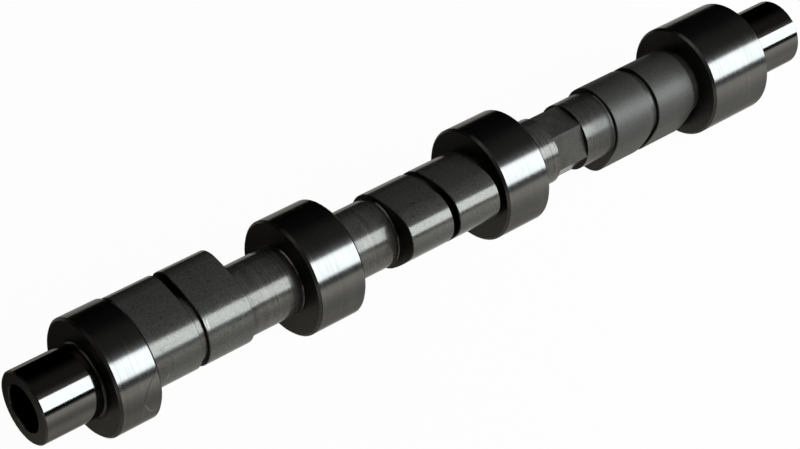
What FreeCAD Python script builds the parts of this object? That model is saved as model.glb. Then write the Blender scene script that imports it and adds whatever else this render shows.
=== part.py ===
import FreeCAD, Part
import math
import os
import Sketcher

# Camshaft for one bank of a flat six-cylinder engine, turned, milled and ground from one bar.
# X runs along the shaft from the front end to the rear, Z is up, and the origin is on the axis
# at the middle of the front journal.

doc = FreeCAD.newDocument("camshaft")
sizes = doc.addObject("Spreadsheet::Sheet", "Sizes")

# Driving dimensions, in millimetres and degrees
DIMENSIONS = [
    ("journal_diameter", 49.0),
    ("core_diameter", 29.0),
    ("front_snout_diameter", 30.0),
    ("rear_snout_diameter", 29.4),
    ("front_snout_length", 25.8),
    ("front_journal_width", 18.7),
    ("second_journal_width", 22.8),
    ("third_journal_width", 22.8),
    ("rear_journal_width", 33.0),
    ("rear_snout_length", 30.2),
    ("cylinder_pitch", 118.0),
    ("cylinder_turn", 120.0),
    ("lobe_width", 21.2),
    ("lobe_gap", 3.2),
    ("gap_behind_front_journal", 3.0),
    ("gap_before_third_journal", 3.4),
    ("gap_before_rear_journal", 4.0),
    ("base_circle_step", 1.5),
    ("cam_lift", 7.9),
    ("nose_radius", 11.3),
    ("flank_radius", 62.0),
    ("first_nose_turn", 37.3),
    ("hexagon_across_flats", 25.0),
    ("hexagon_setback", 14.8),
    ("hexagon_length", 15.7),
    ("hexagon_turn", 1.2),
    ("snout_relief_radius", 1.1),
    ("snout_relief_depth", 0.8),
    ("snout_relief_face_depth", 0.35),
    ("core_relief_length", 3.2),
    ("core_relief_radius", 1.2),
    ("core_relief_depth", 0.3),
    ("journal_chamfer", 1.0),
    ("snout_chamfer", 0.6),
    ("lobe_chamfer", 0.3),
    ("bore_diameter", 19.0),
    ("bore_depth", 62.0),
    ("bore_countersink_diameter", 19.7),
    ("drill_point_angle", 118.0),
    ("rear_centre_diameter", 6.3),
    ("rear_centre_depth", 8.0),
    ("rear_centre_countersink_diameter", 10.6),
    ("centre_angle", 60.0),
]
for row, (name, number) in enumerate(DIMENSIONS, start=1):
    sizes.set(f"A{row}", name)
    sizes.set(f"B{row}", str(number))
    sizes.setAlias(f"B{row}", name)
doc.recompute()


class Size:
    """A length or an angle that knows its value now and the expression that keeps it bound to the sheet."""

    def __init__(self, value, text):
        self.value = value
        self.text = text

    @staticmethod
    def of(other):
        return other if isinstance(other, Size) else Size(float(other), str(other))

    def __add__(self, other):
        other = Size.of(other)
        return Size(self.value + other.value, f"({self.text} + {other.text})")

    def __sub__(self, other):
        other = Size.of(other)
        return Size(self.value - other.value, f"({self.text} - {other.text})")

    def __mul__(self, other):
        other = Size.of(other)
        return Size(self.value * other.value, f"({self.text} * {other.text})")

    def __truediv__(self, other):
        other = Size.of(other)
        return Size(self.value / other.value, f"({self.text} / {other.text})")


def sheet(name):
    return Size(float(getattr(sizes, name)), f"Sizes.{name}")


# Radii from the axis
journal_radius = sheet("journal_diameter") / 2
core_radius = sheet("core_diameter") / 2
front_snout_radius = sheet("front_snout_diameter") / 2
rear_snout_radius = sheet("rear_snout_diameter") / 2
base_radius = core_radius + sheet("base_circle_step")

# Stations along the shaft, counted from the front end face
front_end = Size(0.0, "0")
front_journal = sheet("front_snout_length")
front_journal_end = front_journal + sheet("front_journal_width")
pair_half = sheet("lobe_width") + sheet("lobe_gap") / 2
first_pair_middle = front_journal_end + sheet("gap_behind_front_journal") + pair_half
pair_middles = [first_pair_middle + sheet("cylinder_pitch") * cylinder for cylinder in range(3)]
second_journal = first_pair_middle + (sheet("cylinder_pitch") - sheet("second_journal_width")) / 2
second_journal_end = second_journal + sheet("second_journal_width")
third_journal = pair_middles[1] + pair_half + sheet("gap_before_third_journal")
third_journal_end = third_journal + sheet("third_journal_width")
rear_journal = pair_middles[2] + pair_half + sheet("gap_before_rear_journal")
rear_journal_end = rear_journal + sheet("rear_journal_width")
rear_end = rear_journal_end + sheet("rear_snout_length")
hexagon_start = third_journal_end + sheet("hexagon_setback")
datum = front_journal + sheet("front_journal_width") / 2

body = doc.addObject("PartDesign::Body", "Camshaft")
body.Label = "camshaft"
ALONG_Z = FreeCAD.Vector(0, 0, 1)
ON_AXIS = FreeCAD.Vector(0, 0, 0)

# How a sketch counts the points of a line or an arc, and its own horizontal axis and origin
START, END, CENTRE = range(1, 4)
AXIS_LINE = -START
ORIGIN = (AXIS_LINE, START)


def origin_plane(role):
    return next(item for item in body.Origin.OriginFeatures if item.Role == role)


def lengthwise_sketch(name):
    """A sketch in the XZ plane whose own origin is the centre of the front end face."""
    sketch = body.newObject("Sketcher::SketchObject", name)
    sketch.AttachmentSupport = [(origin_plane("XZ_Plane"), "")]
    sketch.MapMode = "FlatFace"
    sketch.setExpression("AttachmentOffset.Base.x", f"-{datum.text}")
    return sketch


def crosswise_sketch(name, station, turn):
    """A sketch square to the shaft at a station, turned about the axis."""
    sketch = body.newObject("Sketcher::SketchObject", name)
    sketch.AttachmentSupport = [(origin_plane("YZ_Plane"), "")]
    sketch.MapMode = "FlatFace"
    turned = FreeCAD.Rotation(ALONG_Z, turn.value)
    sketch.AttachmentOffset = FreeCAD.Placement(FreeCAD.Vector(0, 0, station.value - datum.value), turned)
    sketch.setExpression("AttachmentOffset.Base.z", f"{station.text} - {datum.text}")
    sketch.setExpression("AttachmentOffset.Rotation.Angle", turn.text)
    return sketch


def fix(sketch, kind, *elements_and_size):
    """Adds a dimension to a sketch and binds it to the sheet."""
    *elements, wanted = elements_and_size
    index = sketch.addConstraint(Sketcher.Constraint(kind, *elements, wanted.value))
    sketch.setExpression(f"Constraints[{index}]", wanted.text)


def sound_volume(feature):
    """Recomputes, stops at once if the feature left no valid solid, and gives its volume."""
    doc.recompute()
    shape = feature.Shape
    if "Invalid" in feature.State or shape.isNull() or not shape.isValid():
        raise RuntimeError(f"{feature.Name} failed")
    return shape.Volume


def check_cut(feature, volume_before):
    volume = sound_volume(feature)
    if volume >= volume_before:
        raise RuntimeError(f"{feature.Name} cut nothing")
    return volume


# Turned blank: one profile of snouts, journals and cores, turned about the axis
LANDS = [
    (front_journal, front_snout_radius),
    (front_journal_end, journal_radius),
    (second_journal, core_radius),
    (second_journal_end, journal_radius),
    (third_journal, core_radius),
    (third_journal_end, journal_radius),
    (rear_journal, core_radius),
    (rear_journal_end, journal_radius),
    (rear_end, rear_snout_radius),
]
blank_sketch = lengthwise_sketch("BlankProfile")
corners = [ON_AXIS]
station = 0.0
for end, radius in LANDS:
    corners.append(FreeCAD.Vector(station, radius.value, 0))
    station = end.value
    corners.append(FreeCAD.Vector(station, radius.value, 0))
corners.append(FreeCAD.Vector(station, 0, 0))
sides = len(corners)
for index in range(sides):
    blank_sketch.addGeometry(Part.LineSegment(corners[index], corners[(index + 1) % sides]), False)
for index in range(sides):
    blank_sketch.addConstraint(Sketcher.Constraint("Coincident", index, END, (index + 1) % sides, START))
    direction = "Vertical" if index % 2 == 0 else "Horizontal"
    blank_sketch.addConstraint(Sketcher.Constraint(direction, index))
blank_sketch.addConstraint(Sketcher.Constraint("Coincident", 0, START, *ORIGIN))
for index, (end, radius) in enumerate(LANDS):
    land = 2 * index + 1
    fix(blank_sketch, "DistanceX", *ORIGIN, land, END, end)
    fix(blank_sketch, "DistanceY", *ORIGIN, land, END, radius)

blank = body.newObject("PartDesign::Revolution", "TurnedBlank")
blank.Profile = blank_sketch
blank.ReferenceAxis = (blank_sketch, ["H_Axis"])
blank.Angle = 360.0
volume = sound_volume(blank)


# Cam lobes: base circle, two convex flanks and a nose, each arc tangent to the next
def cam_profile(name, station, turn):
    sketch = crosswise_sketch(name, station, turn)
    nose_radius = sheet("nose_radius")
    flank_radius = sheet("flank_radius")
    nose_place = base_radius + sheet("cam_lift") - nose_radius
    base, nose, flank, reach = base_radius.value, nose_radius.value, flank_radius.value, nose_place.value
    flank_x = (reach**2 - (flank - nose) ** 2 + (flank - base) ** 2) / (2 * reach)
    flank_y = math.sqrt((flank - base) ** 2 - flank_x**2)
    nose_end = math.atan2(flank_y, reach - flank_x)
    base_end = math.atan2(flank_y, -flank_x)
    full_turn = 2 * math.pi
    arcs = [
        (0.0, 0.0, base, base_end, full_turn - base_end),
        (flank_x, flank_y, flank, full_turn - base_end, full_turn - nose_end),
        (reach, 0.0, nose, -nose_end, nose_end),
        (flank_x, -flank_y, flank, nose_end, base_end),
    ]
    for x, y, radius, start, end in arcs:
        circle = Part.Circle(FreeCAD.Vector(x, y, 0), ALONG_Z, radius)
        sketch.addGeometry(Part.ArcOfCircle(circle, start, end), False)
    for index in range(len(arcs)):
        sketch.addConstraint(Sketcher.Constraint("Tangent", index, END, (index + 1) % len(arcs), START))
    sketch.addConstraint(Sketcher.Constraint("Coincident", 0, CENTRE, *ORIGIN))
    sketch.addConstraint(Sketcher.Constraint("PointOnObject", 2, CENTRE, AXIS_LINE))
    sketch.addConstraint(Sketcher.Constraint("Equal", 1, 3))
    fix(sketch, "Radius", 0, base_radius)
    fix(sketch, "Radius", 1, flank_radius)
    fix(sketch, "Radius", 2, nose_radius)
    fix(sketch, "DistanceX", *ORIGIN, 2, CENTRE, nose_place)
    return sketch


lobe_faces = []
for cylinder, middle in enumerate(pair_middles):
    turn = sheet("first_nose_turn") + sheet("cylinder_turn") * cylinder
    for place, start in (("Front", middle - pair_half), ("Rear", middle + sheet("lobe_gap") / 2)):
        title = f"Cylinder{cylinder + 1}{place}Lobe"
        lobe = body.newObject("PartDesign::Pad", title)
        lobe.Profile = cam_profile(f"{title}Profile", start, turn)
        lobe.setExpression("Length", "Sizes.lobe_width")
        grown = sound_volume(lobe)
        if grown <= volume:
            raise RuntimeError(f"{title} added nothing")
        volume = grown
        lobe_faces += [start, start + sheet("lobe_width")]

# Broken edges: journals, snout ends and the rims of the lobes
TOLERANCE = 0.01


def at_station(edge, station):
    offset = station.value - datum.value
    return edge.BoundBox.XLength < TOLERANCE and abs(edge.BoundBox.XMin - offset) < TOLERANCE


def edge_radius(edge):
    point = edge.Vertexes[0].Point
    return math.hypot(point.y, point.z)


def journal_rim(edge):
    return edge.BoundBox.XLength < TOLERANCE and abs(edge_radius(edge) - journal_radius.value) < TOLERANCE


def snout_rim(edge):
    return at_station(edge, front_end) or at_station(edge, rear_end)


def lobe_rim(edge):
    outside_core = edge_radius(edge) > core_radius.value + TOLERANCE
    return outside_core and any(at_station(edge, face) for face in lobe_faces)


latest = lobe
for title, wanted, chamfer_size in (
    ("JournalChamfers", journal_rim, "journal_chamfer"),
    ("SnoutChamfers", snout_rim, "snout_chamfer"),
    ("LobeChamfers", lobe_rim, "lobe_chamfer"),
):
    chamfer = body.newObject("PartDesign::Chamfer", title)
    rims = [f"Edge{index}" for index, edge in enumerate(latest.Shape.Edges, start=1) if wanted(edge)]
    chamfer.Base = (latest, rims)
    chamfer.setExpression("Size", sheet(chamfer_size).text)
    volume = check_cut(chamfer, volume)
    latest = chamfer

# Grinding reliefs of the snouts: a round-nosed tool sinks into the corner between the snout and
# the journal's face
SNOUT_RELIEFS = [
    (front_journal, -1, front_snout_radius),
    (rear_journal_end, 1, rear_snout_radius),
]
snout_relief_sketch = lengthwise_sketch("SnoutReliefTools")
nose = sheet("snout_relief_radius")
for index, (shoulder, side, radius) in enumerate(SNOUT_RELIEFS):
    across = shoulder + (nose - sheet("snout_relief_face_depth")) * side
    up = radius + nose - sheet("snout_relief_depth")
    middle = FreeCAD.Vector(across.value, up.value, 0)
    snout_relief_sketch.addGeometry(Part.Circle(middle, ALONG_Z, nose.value), False)
    fix(snout_relief_sketch, "Radius", index, nose)
    fix(snout_relief_sketch, "DistanceX", *ORIGIN, index, CENTRE, across)
    fix(snout_relief_sketch, "DistanceY", *ORIGIN, index, CENTRE, up)

# Reliefs of the cores: a long gentle slope down from the core, then a round that rises to the
# shoulder's face
CORE_RELIEFS = [
    (pair_middles[0] + pair_half, 1),
    (second_journal, -1),
    (second_journal_end, 1),
    (pair_middles[1] - pair_half, -1),
    (third_journal_end, 1),
    (pair_middles[2] - pair_half, -1),
]
core_relief_sketch = lengthwise_sketch("CoreReliefTools")
round_radius = sheet("core_relief_radius")
round_up = core_radius + round_radius - sheet("core_relief_depth")
rise = round_up.value - core_radius.value
run = math.sqrt(round_radius.value**2 - rise**2)
slope_run = sheet("core_relief_length").value - run
slope = math.asin(round_radius.value / math.hypot(slope_run, rise)) - math.atan2(rise, slope_run)
for index, (shoulder, side) in enumerate(CORE_RELIEFS):
    line, arc, chord = range(3 * index, 3 * index + 3)
    corner = FreeCAD.Vector(shoulder.value, core_radius.value, 0)
    far = corner + FreeCAD.Vector(side * sheet("core_relief_length").value, 0, 0)
    middle = FreeCAD.Vector(shoulder.value + side * run, round_up.value, 0)
    touch = middle + FreeCAD.Vector(side * math.sin(slope), -math.cos(slope), 0) * round_radius.value
    corner_turn = math.atan2(corner.y - middle.y, corner.x - middle.x)
    touch_turn = math.atan2(touch.y - middle.y, touch.x - middle.x)
    turns = (touch_turn, corner_turn) if side < 0 else (corner_turn, touch_turn)
    touch_end, corner_end = (START, END) if side < 0 else (END, START)
    core_relief_sketch.addGeometry(Part.LineSegment(far, touch), False)
    circle = Part.Circle(middle, ALONG_Z, round_radius.value)
    core_relief_sketch.addGeometry(Part.ArcOfCircle(circle, *turns), False)
    core_relief_sketch.addGeometry(Part.LineSegment(corner, far), False)
    core_relief_sketch.addConstraint(Sketcher.Constraint("Tangent", line, END, arc, touch_end))
    core_relief_sketch.addConstraint(Sketcher.Constraint("Coincident", arc, corner_end, chord, START))
    core_relief_sketch.addConstraint(Sketcher.Constraint("Coincident", chord, END, line, START))
    core_relief_sketch.addConstraint(Sketcher.Constraint("Horizontal", chord))
    fix(core_relief_sketch, "DistanceX", *ORIGIN, chord, START, shoulder)
    fix(core_relief_sketch, "DistanceY", *ORIGIN, chord, START, core_radius)
    fix(core_relief_sketch, "Distance", chord, sheet("core_relief_length"))
    fix(core_relief_sketch, "Radius", arc, round_radius)
    fix(core_relief_sketch, "DistanceY", *ORIGIN, arc, CENTRE, round_up)

for title, sketch in (("SnoutReliefs", snout_relief_sketch), ("CoreReliefs", core_relief_sketch)):
    reliefs = body.newObject("PartDesign::Groove", title)
    reliefs.Profile = sketch
    reliefs.ReferenceAxis = (sketch, ["H_Axis"])
    reliefs.Angle = 360.0
    volume = check_cut(reliefs, volume)

# Wrench hexagon: six flats milled into the core between the third journal and the third pair
FLATS = 6
hexagon_turn = sheet("first_nose_turn") + sheet("hexagon_turn")
hexagon_sketch = crosswise_sketch("HexagonFlats", hexagon_start, hexagon_turn)
half_flats = sheet("hexagon_across_flats") / 2
corner_radius = half_flats.value / math.cos(math.pi / FLATS)
vertices = []
for index in range(FLATS):
    angle = (2 * index + 1) * math.pi / FLATS
    vertices.append(FreeCAD.Vector(corner_radius * math.cos(angle), corner_radius * math.sin(angle), 0))
for index in range(FLATS):
    hexagon_sketch.addGeometry(Part.LineSegment(vertices[index], vertices[(index + 1) % FLATS]), False)
guide = hexagon_sketch.addGeometry(Part.Circle(ON_AXIS, ALONG_Z, corner_radius), True)
rim = hexagon_sketch.addGeometry(Part.Circle(ON_AXIS, ALONG_Z, journal_radius.value), False)
for index in range(FLATS):
    hexagon_sketch.addConstraint(Sketcher.Constraint("Coincident", index, END, (index + 1) % FLATS, START))
    hexagon_sketch.addConstraint(Sketcher.Constraint("PointOnObject", index, START, guide))
for index in range(FLATS - 1):
    hexagon_sketch.addConstraint(Sketcher.Constraint("Equal", index, index + 1))
hexagon_sketch.addConstraint(Sketcher.Constraint("Coincident", guide, CENTRE, *ORIGIN))
hexagon_sketch.addConstraint(Sketcher.Constraint("Coincident", rim, CENTRE, *ORIGIN))
hexagon_sketch.addConstraint(Sketcher.Constraint("Vertical", FLATS - 1))
fix(hexagon_sketch, "Distance", *ORIGIN, FLATS - 1, half_flats)
fix(hexagon_sketch, "Radius", rim, journal_radius)

hexagon = body.newObject("PartDesign::Pocket", "Hexagon")
hexagon.Profile = hexagon_sketch
hexagon.Reversed = True
hexagon.setExpression("Length", "Sizes.hexagon_length")
volume = check_cut(hexagon, volume)

# Bore in the front snout and centre hole in the rear one, both drilled along the axis
UNTURNED = Size(0.0, "0")
for title, station, into_plus_x, prefix in (
    ("FrontBore", front_end, True, "bore"),
    ("RearCentre", rear_end, False, "rear_centre"),
):
    mouth = crosswise_sketch(f"{title}Mouth", station, UNTURNED)
    diameter = sheet(f"{prefix}_diameter")
    mouth.addGeometry(Part.Circle(ON_AXIS, ALONG_Z, diameter.value / 2), False)
    mouth.addConstraint(Sketcher.Constraint("Coincident", 0, CENTRE, *ORIGIN))
    fix(mouth, "Diameter", 0, diameter)
    doc.recompute()
    hole = body.newObject("PartDesign::Hole", title)
    hole.Profile = mouth
    hole.Reversed = into_plus_x
    hole.DepthType = "Dimension"
    hole.HoleCutType = "Countersink"
    hole.DrillPoint = "Angled"
    hole.setExpression("Diameter", diameter.text)
    hole.setExpression("Depth", sheet(f"{prefix}_depth").text)
    hole.setExpression("DrillPointAngle", "Sizes.drill_point_angle")
    hole.setExpression("HoleCutDiameter", sheet(f"{prefix}_countersink_diameter").text)
    hole.setExpression("HoleCutCountersinkAngle", "Sizes.centre_angle")
    volume = check_cut(hole, volume)

for item in doc.Objects:
    if "Invalid" in item.State or "Error" in item.State:
        raise RuntimeError(f"{item.Name} is in error")
shape = body.Shape
if shape.isNull() or not shape.isValid() or len(shape.Solids) != 1:
    raise RuntimeError("the camshaft is not one valid solid")

os.makedirs("parts", exist_ok=True)
shape.exportStep(f"parts/{body.Label}.step")
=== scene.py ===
import math

import bpy
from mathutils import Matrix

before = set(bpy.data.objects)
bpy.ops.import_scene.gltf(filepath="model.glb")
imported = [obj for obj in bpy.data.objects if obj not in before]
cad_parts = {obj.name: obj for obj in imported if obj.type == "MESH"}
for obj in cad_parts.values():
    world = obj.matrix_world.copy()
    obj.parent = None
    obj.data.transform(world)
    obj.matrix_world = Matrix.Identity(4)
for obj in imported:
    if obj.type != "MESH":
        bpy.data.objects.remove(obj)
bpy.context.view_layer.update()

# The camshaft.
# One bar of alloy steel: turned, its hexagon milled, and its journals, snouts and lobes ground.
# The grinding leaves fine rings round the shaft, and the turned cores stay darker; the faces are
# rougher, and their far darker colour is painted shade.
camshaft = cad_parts["camshaft"]


class Socket:
    """A number or a vector in the shader, so that its maths can be written as plain expressions."""

    tree = None

    def __init__(self, link):
        self.link = link

    @classmethod
    def node(cls, kind, settings=None, inputs=None, output=0):
        """Any node, with its settings first and then the values or links of its inputs."""
        made = cls.tree.nodes.new(kind)
        for name, value in (settings or {}).items():
            setattr(made, name, value)
        for name, value in (inputs or {}).items():
            if isinstance(value, Socket):
                cls.tree.links.new(value.link, made.inputs[name])
            else:
                made.inputs[name].default_value = value
        return cls(made.outputs[output])

    @classmethod
    def math(cls, operation, *values, clamp=False):
        settings = {"operation": operation, "use_clamp": clamp}
        return cls.node("ShaderNodeMath", settings, dict(enumerate(values)))

    def beside(self, output):
        """Another output of the same node."""
        return Socket(self.link.node.outputs[output])

    def __add__(self, other):
        return Socket.math("ADD", self, other)

    def __sub__(self, other):
        return Socket.math("SUBTRACT", self, other)

    def __mul__(self, other):
        return Socket.math("MULTIPLY", self, other)

    def __radd__(self, other):
        return Socket.math("ADD", other, self)

    def __rsub__(self, other):
        return Socket.math("SUBTRACT", other, self)

    def __rmul__(self, other):
        return Socket.math("MULTIPLY", other, self)

    def __gt__(self, other):
        return Socket.math("GREATER_THAN", self, other)

    def __lt__(self, other):
        return Socket.math("LESS_THAN", self, other)

    def __abs__(self):
        return Socket.math("ABSOLUTE", self)

    def maximum(self, other):
        return Socket.math("MAXIMUM", self, other)

    def minimum(self, other):
        return Socket.math("MINIMUM", self, other)

    def ramp(self, low, high):
        """0 below low, 1 above high, and smooth between."""
        settings = {"interpolation_type": "SMOOTHSTEP"}
        inputs = {"Value": self, "From Min": low, "From Max": high}
        return Socket.node("ShaderNodeMapRange", settings, inputs)


def start_shader(owner):
    """Empty the nodes of a material or of the world, and work in them from here on."""
    owner.use_nodes = True
    Socket.tree = owner.node_tree
    Socket.tree.nodes.clear()


def end_shader(kind, surface):
    """Lead the finished surface to the output node."""
    output = Socket.tree.nodes.new(kind)
    Socket.tree.links.new(surface.link, output.inputs["Surface"])


def mix(amount, first, second):
    """A colour part of the way from first to second."""
    inputs = {0: amount, 6: first, 7: second}
    return Socket.node("ShaderNodeMix", {"data_type": "RGBA"}, inputs, output=2)


steel = bpy.data.materials.new("ground_steel")
start_shader(steel)
place = Socket.node("ShaderNodeTexCoord", output="Object")
x = Socket.node("ShaderNodeSeparateXYZ", inputs={0: place}, output="X")
y, z = x.beside("Y"), x.beside("Z")
radius = Socket.math("SQRT", y * y + z * z)
facing = Socket.node("ShaderNodeNewGeometry", output="Normal")
facing_x = Socket.node("ShaderNodeSeparateXYZ", inputs={0: facing}, output="X")

# Where each finish lies, in metres along the shaft from the middle of the front journal
front_snout_end, rear_snout_start = -0.0115, 0.3325
journal_bands = (
    (-0.00935, 0.00935),
    (0.08275, 0.10555),
    (0.17935, 0.20215),
    (0.29795, 0.33095),
)
relief_bands = ((front_snout_end, -0.0094), (0.3310, rear_snout_start))
lobe_bands = ((0.01235, 0.05795), (0.13035, 0.17595), (0.24835, 0.29395))
hexagon_band = (0.2162, 0.2334)
journal_radius = 0.0245
neck_radius = 0.0152
bore_radius, bore_end = 0.0098, 0.04
face_tilt_least, face_tilt_full = 0.55, 0.8


def within(*bands):
    """1 between the ends of any of the bands along the shaft."""
    inside = [(x > low) * (x < high) for low, high in bands]
    return sum(inside[1:], inside[0])


on_face = abs(facing_x).ramp(face_tilt_least, face_tilt_full)
in_bore = (radius < bore_radius) * (x < bore_end)
in_relief = within(*relief_bands)
round_side = (1.0 - on_face) * (1.0 - in_bore) * (1.0 - in_relief)
journal = within(*journal_bands) * round_side
snout = ((x < front_snout_end) + (x > rear_snout_start)) * round_side
lobe = within(*lobe_bands) * (radius > neck_radius) * round_side
core = round_side - journal - snout - lobe
dull_side = 1.0 - journal - snout

# The hexagon's milled flats keep little of the lathe's rings
hexagon = within(hexagon_band) * core
turned = core - 0.85 * hexagon

# The last pair of lobes and the neck before it are rougher than the others, and their colour is
# darkened as painted shade for the dimmer light on them
rear_dull_and_shade = x.ramp(0.226, 0.246) * (lobe + core)
# Painted shade: the cores from behind the third journal on are darkened a little, for their dimmer
# highlight
rear_core_shade = x.ramp(0.19, 0.205) * core


def noise(scale, detail, at=place):
    inputs = {"Vector": at, "Scale": scale, "Detail": detail}
    return Socket.node("ShaderNodeTexNoise", inputs=inputs)


def rings(along, around, detail):
    """Streaks that run round the shaft: fine along it, and long around it."""
    stretched = {0: x * along, 1: y * around, 2: z * around}
    return noise(1.0, detail, Socket.node("ShaderNodeCombineXYZ", inputs=stretched))


def swing(mark):
    """How far a mark is over or under its middle."""
    return mark - 0.5


# The marks of the tools: fine rings of the grinding wheel, wider ones of the lathe, and stains
fine_lines = rings(6000.0, 30.0, detail=2.0)
lines = rings(2400.0, 12.0, detail=3.0)
tool_rings = rings(1300.0, 3.0, detail=2.0)
cloud = noise(60.0, detail=4.0)
stains = noise(230.0, detail=3.0)
grain = noise(1700.0, detail=2.0)
pits = noise(620.0, detail=1.0).ramp(0.68, 0.74)

# Colours: near neutral on the ground bands, warmer and darker where only turned; the near black of
# the faces and the bore is painted shade
journal_colour = (0.150, 0.146, 0.138, 1.0)
snout_colour = (0.148, 0.144, 0.135, 1.0)
lobe_colour = (0.1035, 0.0985, 0.0865, 1.0)
core_colour = (0.100, 0.093, 0.081, 1.0)
# Painted shade: the end faces, which turn away from the panel, get a near black copy of the steel's
# colour
face_painted_shade_colour = (0.034, 0.0328, 0.0300, 1.0)
# Painted shade: the inside of the bore is coloured near black, for the dark of the hole
bore_painted_shade_colour = (0.006, 0.0055, 0.005, 1.0)

steel_with_painted_shade = mix(journal, core_colour, journal_colour)
steel_with_painted_shade = mix(snout, steel_with_painted_shade, snout_colour)
steel_with_painted_shade = mix(lobe, steel_with_painted_shade, lobe_colour)
steel_with_painted_shade = mix(1.0 - round_side, steel_with_painted_shade, face_painted_shade_colour)
steel_with_painted_shade = mix(in_bore, steel_with_painted_shade, bore_painted_shade_colour)

# How strongly each mark shows in the colour, on every finish
line_contrast = 0.3 * (1.0 - hexagon) + 0.65 * turned + 0.25 * journal
cloud_contrast = 0.2 + 0.4 * core
stain_contrast = 0.1 + 0.6 * core
grain_contrast = 1.3 * dull_side
ring_contrast = 0.2 * journal + 1.2 * turned
pit_contrast = 0.5 * (lobe - rear_dull_and_shade)
marks = (
    swing(lines) * line_contrast
    + swing(cloud) * cloud_contrast
    + swing(stains) * stain_contrast
    + swing(grain) * grain_contrast
    + swing(tool_rings) * ring_contrast
    - pits * pit_contrast
)

# Fine scratches on the front journal and the two lobes behind it, one of them a long loop, cut as
# shallow grooves.
# Each is a row of places: metres along the shaft, degrees round it.
# Their colour is painted light: the darker rows paint shade in a scratch, the lighter rows a glint
# on it
shaded_scratch_rows = (
    ((0.0070, 161.5), (0.0052, 163.9), (0.0035, 168.5), (0.0020, 174.6), (0.0008, 181.5)),
)
glinting_scratch_rows = (
    ((0.0085, 154.8), (0.0080, 159.4), (0.0071, 161.3)),
    ((0.0010, 185.7), (0.0020, 189.9), (0.0030, 195.0), (0.0047, 198.5), (0.0066, 197.5)),
    ((0.0183, 187.3), (0.0161, 200.0)),
    # These last two rows paint a glint along the second lobe's front edge
    ((0.0385, 137.6), (0.0383, 146.5), (0.0381, 154.0)),
    ((0.0371, 140.5), (0.0372, 148.3)),
)
scratch_core, scratch_edge = 0.00006, 0.00026
turn = Socket.math("ARCTAN2", z, y)
around = (turn + (turn < 0.0) * (2.0 * math.pi)) * journal_radius


def scratched(rows):
    """1 on the scratches, by the distance to the nearest stretch of any of them."""
    nearest = None
    for row in rows:
        points = [(along, math.radians(degrees) * journal_radius) for along, degrees in row]
        for (start_x, start_s), (end_x, end_s) in zip(points, points[1:]):
            run_x, run_s = end_x - start_x, end_s - start_s
            square = run_x * run_x + run_s * run_s
            off_x, off_s = x - start_x, around - start_s
            reached = off_x * (run_x / square) + off_s * (run_s / square)
            part = Socket.math("ADD", reached, 0.0, clamp=True)
            gap_x, gap_s = off_x - part * run_x, off_s - part * run_s
            gap = gap_x * gap_x + gap_s * gap_s
            nearest = gap if nearest is None else nearest.minimum(gap)
    distance = Socket.math("SQRT", nearest)
    return (1.0 - distance.ramp(scratch_core, scratch_edge)) * round_side


# How much the painted shade and painted glints on the scratches, and the painted shade at the rear,
# take from the colour or add to it
painted_scratch_shade_loss, painted_scratch_glint_gain = 0.6, 1.2
rear_painted_shade_loss, rear_core_shade_loss = 0.38, 0.1
scratch_and_painted_shade, scratch_and_painted_glint = scratched(shaded_scratch_rows), scratched(glinting_scratch_rows)
marks_and_scratch_light = 1.0 + marks - painted_scratch_shade_loss * scratch_and_painted_shade + painted_scratch_glint_gain * scratch_and_painted_glint
marks_and_painted_light = marks_and_scratch_light * (1.0 - rear_painted_shade_loss * rear_dull_and_shade - rear_core_shade_loss * rear_core_shade)
scaled = {"Vector": steel_with_painted_shade, "Scale": marks_and_painted_light}
steel_with_marks_and_painted_light = Socket.node("ShaderNodeVectorMath", {"operation": "SCALE"}, scaled)

# Roughness: the snouts are polished, the journals ground fine, and the faces only turned
journal_rough, snout_rough, lobe_rough, core_rough, face_rough = 0.165, 0.085, 0.19, 0.2, 0.36
dull_rough, dull_lobe_rough = 0.16, 0.16
roughness = (
    journal * (journal_rough + 0.08 * swing(lines) + 0.04 * swing(tool_rings))
    + snout * (snout_rough + 0.05 * swing(lines))
    + lobe * (lobe_rough + 0.12 * swing(lines) + 0.1 * swing(grain) + 0.08 * swing(cloud))
    + rear_dull_and_shade * (dull_rough + dull_lobe_rough * lobe)
    + core * (core_rough + 0.1 * swing(cloud))
    + turned * 0.2 * swing(tool_rings)
    + (1.0 - round_side) * (face_rough + 0.1 * swing(cloud))
)

# The thin oxide film on the lobes and cores hides half of the bare metal
journal_metal, filmed_metal, face_metal = 0.975, 0.5, 0.9
film_index, film_tint = 1.9, (0.46, 0.46, 0.45, 1.0)
metallic = (
    journal_metal * journal
    + snout
    + filmed_metal * (lobe + core)
    + face_metal * (1.0 - round_side)
)

# How deep each mark is cut, as a share of the lathe's rings on the cores
groove_strength, groove_depth = 0.3, 0.00002
ground_share, lobe_share, grain_share, scratch_share = 0.3, 0.6, 0.2, 0.5
height = (
    (journal + snout) * fine_lines * ground_share
    + lobe * fine_lines * lobe_share
    + turned * tool_rings
    + dull_side * grain * grain_share
    - (scratch_and_painted_shade + scratch_and_painted_glint) * scratch_share
)
grooves = {"Height": height, "Strength": groove_strength, "Distance": groove_depth}
surface = {
    "Base Color": steel_with_marks_and_painted_light,
    "Metallic": metallic,
    "Roughness": roughness,
    "IOR": film_index,
    "Specular Tint": film_tint,
    "Normal": Socket.node("ShaderNodeBump", inputs=grooves),
}
finished_steel = Socket.node("ShaderNodeBsdfPrincipled", inputs=surface)
end_shader("ShaderNodeOutputMaterial", finished_steel)
camshaft.material_slots[0].material = steel

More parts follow.
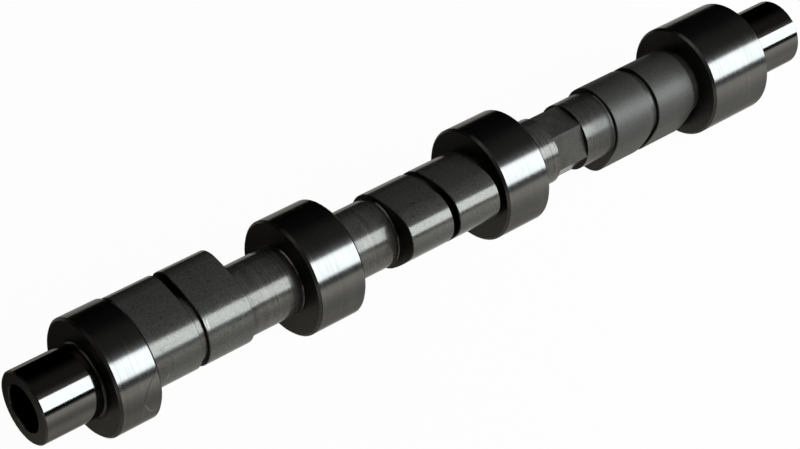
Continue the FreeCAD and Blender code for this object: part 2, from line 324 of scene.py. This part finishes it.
# The floor.
# A plain white sheet that the four journals lie on, wide enough to fill every view.
# The metal sees it dim in the shaft's shadow, pale further out, and dark beyond the panel.
floor_size, floor_middle = 12.0, 0.16
bpy.ops.mesh.primitive_plane_add(size=floor_size, location=(floor_middle, 0.0, -journal_radius))
floor = bpy.context.object
floor.name = "floor"
paper = bpy.data.materials.new("white_floor")
start_shader(paper)

# How far a point lies to the right or left, for someone who looks from the rear to the front
floor_place = Socket.node("ShaderNodeTexCoord", output="Object")
right = Socket.node("ShaderNodeSeparateXYZ", inputs={0: floor_place}, output="Y")
left = 0.0 - right

# The sheet itself, which takes the shadow: warm white, and grey beyond the panel
paper_colour, far_colour = (0.8, 0.76, 0.71, 1.0), (0.14, 0.14, 0.13, 1.0)
panel_edge = (0.26, 0.34)
beyond_panel = left.ramp(*panel_edge)
matt_colour = mix(beyond_panel, paper_colour, far_colour)
matt = Socket.node("ShaderNodeBsdfDiffuse", inputs={"Color": matt_colour})

# What the metal sees of it: strips along the shaft, each with soft edges, in metres from its axis
left_strip_start, right_strip_start = (0.03, 0.12), (0.06, 0.15)
under_strip_start, under_strip_end = (-0.045, -0.015), (-0.005, 0.055)
shadow_glow, under_glow, beside_glow = 0.05, 0.6, 0.9
strip_beside = left.ramp(*left_strip_start) + right.ramp(*right_strip_start)
strip_beside = strip_beside * (1.0 - beyond_panel)
strip_under = right.ramp(*under_strip_start) * (1.0 - right.ramp(*under_strip_end))
glow = shadow_glow + under_glow * strip_under + beside_glow * strip_beside
to_camera = Socket.node("ShaderNodeLightPath", output="Is Camera Ray")
to_metal = to_camera.beside("Is Glossy Ray")
to_glass = to_camera.beside("Is Transmission Ray")
warm = Socket.node("ShaderNodeEmission", inputs={"Color": (1.0, 0.98, 0.93, 1.0), "Strength": 1.0})
seen_in_metal = to_metal.maximum(to_glass) * glow
sheet = Socket.node("ShaderNodeMixShader", inputs={0: seen_in_metal, 1: matt, 2: warm})

# What the camera sees is white, with a trace of the shadow
whiteness = 0.975
white = Socket.node("ShaderNodeEmission", inputs={"Color": (1.0, 1.0, 1.0, 1.0), "Strength": 1.0})
seen = Socket.node("ShaderNodeMixShader", inputs={0: to_camera * whiteness, 1: sheet, 2: white})
end_shader("ShaderNodeOutputMaterial", seen)
floor.data.materials.append(paper)

# The light.
# One long soft panel stands beside the camera and gives every cylinder its white line.
# The room is black, but for a weak glow over the panel and a window for the other sides.
world = bpy.data.worlds.new("studio")
bpy.context.scene.world = world
start_shader(world)
heading = Socket.node("ShaderNodeTexCoord", output="Generated")
heading_x = Socket.node("ShaderNodeSeparateXYZ", inputs={0: heading}, output="X")
rise = Socket.math("ARCTAN2", heading_x.beside("Z"), heading_x.beside("Y"))


def rise_ramp(low, high):
    """0 to 1 between two angles round the shaft, in degrees from its far side upwards."""
    return rise.ramp(math.radians(low), math.radians(high))


# The weak glow: how bright it is, far from the panel and near it, and its edges in degrees
wall_strength, near_panel_strength = 0.05, 0.2
wall_start, near_panel_start, wall_end = (58.0, 98.0), (114.0, 134.0), 150.0
wall = wall_strength * rise_ramp(*wall_start)
wall = wall + near_panel_strength * rise_ramp(*near_panel_start)
wall = wall * (rise < math.radians(wall_end))

# The window's soft edges: front and rear as a heading's X, far and near in degrees round the shaft
window_front, window_rear = (-0.8, -0.7), (0.05, 0.25)
window_far, window_near = (50.0, 64.0), (108.0, 124.0)
window_width = heading_x.ramp(*window_front) * (1.0 - heading_x.ramp(*window_rear))
window_height = rise_ramp(*window_far) * (1.0 - rise_ramp(*window_near))
to_camera = Socket.node("ShaderNodeLightPath", output="Is Camera Ray")
window = to_camera.beside("Is Glossy Ray") * window_width * window_height


def background(colour, strength):
    return Socket.node("ShaderNodeBackground", inputs={"Color": colour, "Strength": strength})


dark = background((0.0, 0.0, 0.0, 1.0), 0.0)
lit = background((1.0, 0.98, 0.94, 1.0), 1.0)
white = background((1.0, 1.0, 1.0, 1.0), 1.0)
room = Socket.node("ShaderNodeMixShader", inputs={0: wall.maximum(window), 1: dark, 2: lit})
sky = Socket.node("ShaderNodeMixShader", inputs={0: to_camera, 1: room, 2: white})
end_shader("ShaderNodeOutputWorld", sky)

panel_distance, panel_x, panel_length = 0.8, 0.87, 1.4
panel_low, panel_high = math.radians(170.6), math.radians(134.2)
panel_middle = (panel_low + panel_high) / 2
panel_height = 2 * panel_distance * math.tan((panel_low - panel_high) / 2)
panel_radiance = 7.6
lamp = bpy.data.lights.new("panel", "AREA")
lamp.shape = "RECTANGLE"
lamp.size = panel_length
lamp.size_y = panel_height
lamp.energy = panel_radiance * math.pi * panel_length * panel_height
lamp.color = (0.85, 0.935, 1.0)
panel = bpy.data.objects.new("panel", lamp)
bpy.context.scene.collection.objects.link(panel)
panel.location = (
    panel_x,
    panel_distance * math.cos(panel_middle),
    panel_distance * math.sin(panel_middle),
)
panel.rotation_euler = (panel_middle - math.radians(90.0), 0.0, 0.0)

# The camera.
# It stands where the photograph was taken from: left of the shaft's front end, and above it.
camera_data = bpy.data.cameras.new("camera")
camera_data.lens = 108.885
camera_data.sensor_width = 36.0
camera_data.clip_start = 0.01
camera = bpy.data.objects.new("camera", camera_data)
bpy.context.scene.collection.objects.link(camera)
camera.location = (-0.35872, -0.59298, 0.57307)
camera.rotation_euler = (math.radians(53.466), 0.0, math.radians(-40.220))
bpy.context.scene.camera = camera
bpy.context.scene.view_settings.view_transform = "Standard"

bpy.context.view_layer.update()
